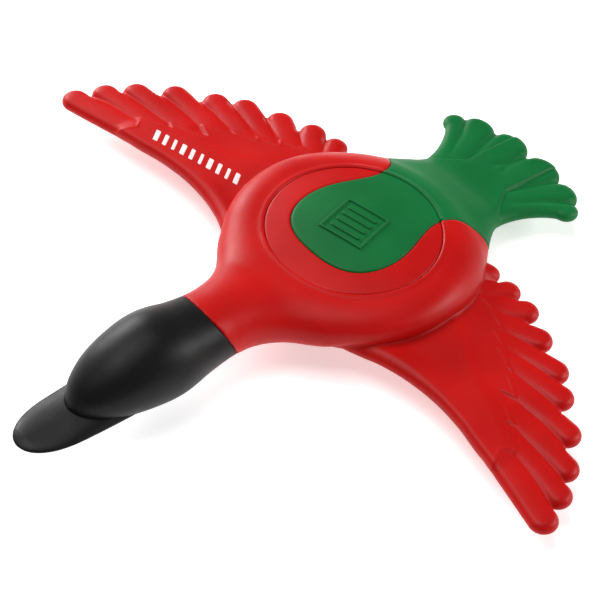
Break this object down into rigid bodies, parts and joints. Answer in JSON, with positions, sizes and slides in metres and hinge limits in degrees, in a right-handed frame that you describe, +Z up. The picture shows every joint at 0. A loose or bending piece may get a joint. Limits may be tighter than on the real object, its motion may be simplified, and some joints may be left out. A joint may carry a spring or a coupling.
{
  "type": "rubber flying duck throw toy",
  "caption": "Soft rubber duck with spread wings and a fan tail, a domed back that is squeezed to sound a squeaker, and a bending neck, wings and tail.",
  "frame": {"origin": "on the belly's flat resting face, straight under the centre of the round back", "axes": "+X towards the tip of the duck's left wing, -Y towards the bill, +Z up"},
  "size_m": [0.294, 0.2701, 0.0396],
  "materials": {
    "red_rubber": "satin moulded rubber",
    "green_rubber": "satin moulded rubber",
    "black_rubber": "satin moulded rubber",
    "white_ink": "matte printed ink",
    "squeaker_plastic": "moulded, matte",
    "reed_film": "smooth film"
  },
  "bodies": {
    "body": {"upper_body_shell": "red_rubber", "belly_shell": "red_rubber", "left_wing_base": "red_rubber", "right_wing_base": "red_rubber", "rump": "green_rubber", "squeaker_cup": "squeaker_plastic", "squeaker_cap": "squeaker_plastic", "squeaker_reed": "reed_film"},
    "left_wing": {"left_wing": "red_rubber"},
    "right_wing": {"right_wing": "red_rubber", "wing_print": "white_ink"},
    "tail": {"tail_fan": "green_rubber"},
    "head": {"neck_sleeve": "red_rubber", "head_hood": "black_rubber", "bill": "black_rubber"},
    "back": {"back_disc": "red_rubber", "back_saddle": "green_rubber", "badge_plate": "green_rubber"}
  },
  "joints": [
    {"name": "left_wing_bend", "type": "hinge", "parent": "body", "child": "left_wing", "pos_m": [0.0575, 0, 0.0134], "axis": [0, -1, 0], "range_deg": [-35, 35], "stiffness_Nm_per_rad": 0.4, "springref_deg": 1.09},
    {"name": "right_wing_bend", "type": "hinge", "parent": "body", "child": "right_wing", "pos_m": [-0.0575, 0, 0.0134], "axis": [0, 1, 0], "range_deg": [-35, 35], "stiffness_Nm_per_rad": 0.4, "springref_deg": 1.09},
    {"name": "tail_bend", "type": "hinge", "parent": "body", "child": "tail", "pos_m": [0, 0.06, 0.014], "axis": [1, 0, 0], "range_deg": [-30, 30], "stiffness_Nm_per_rad": 0.4, "springref_deg": 0.46},
    {"name": "neck_bend", "type": "hinge", "parent": "body", "child": "head", "pos_m": [0, -0.052, 0.0216], "axis": [-1, 0, 0], "range_deg": [-20, 20], "stiffness_Nm_per_rad": 0.8, "springref_deg": 0.92},
    {"name": "back_press", "type": "slide", "parent": "body", "child": "back", "axis": [0, 0, -1], "range_m": [0, 0.004], "stiffness_N_per_m": 2500, "springref_m": -0.0001}
  ]
}
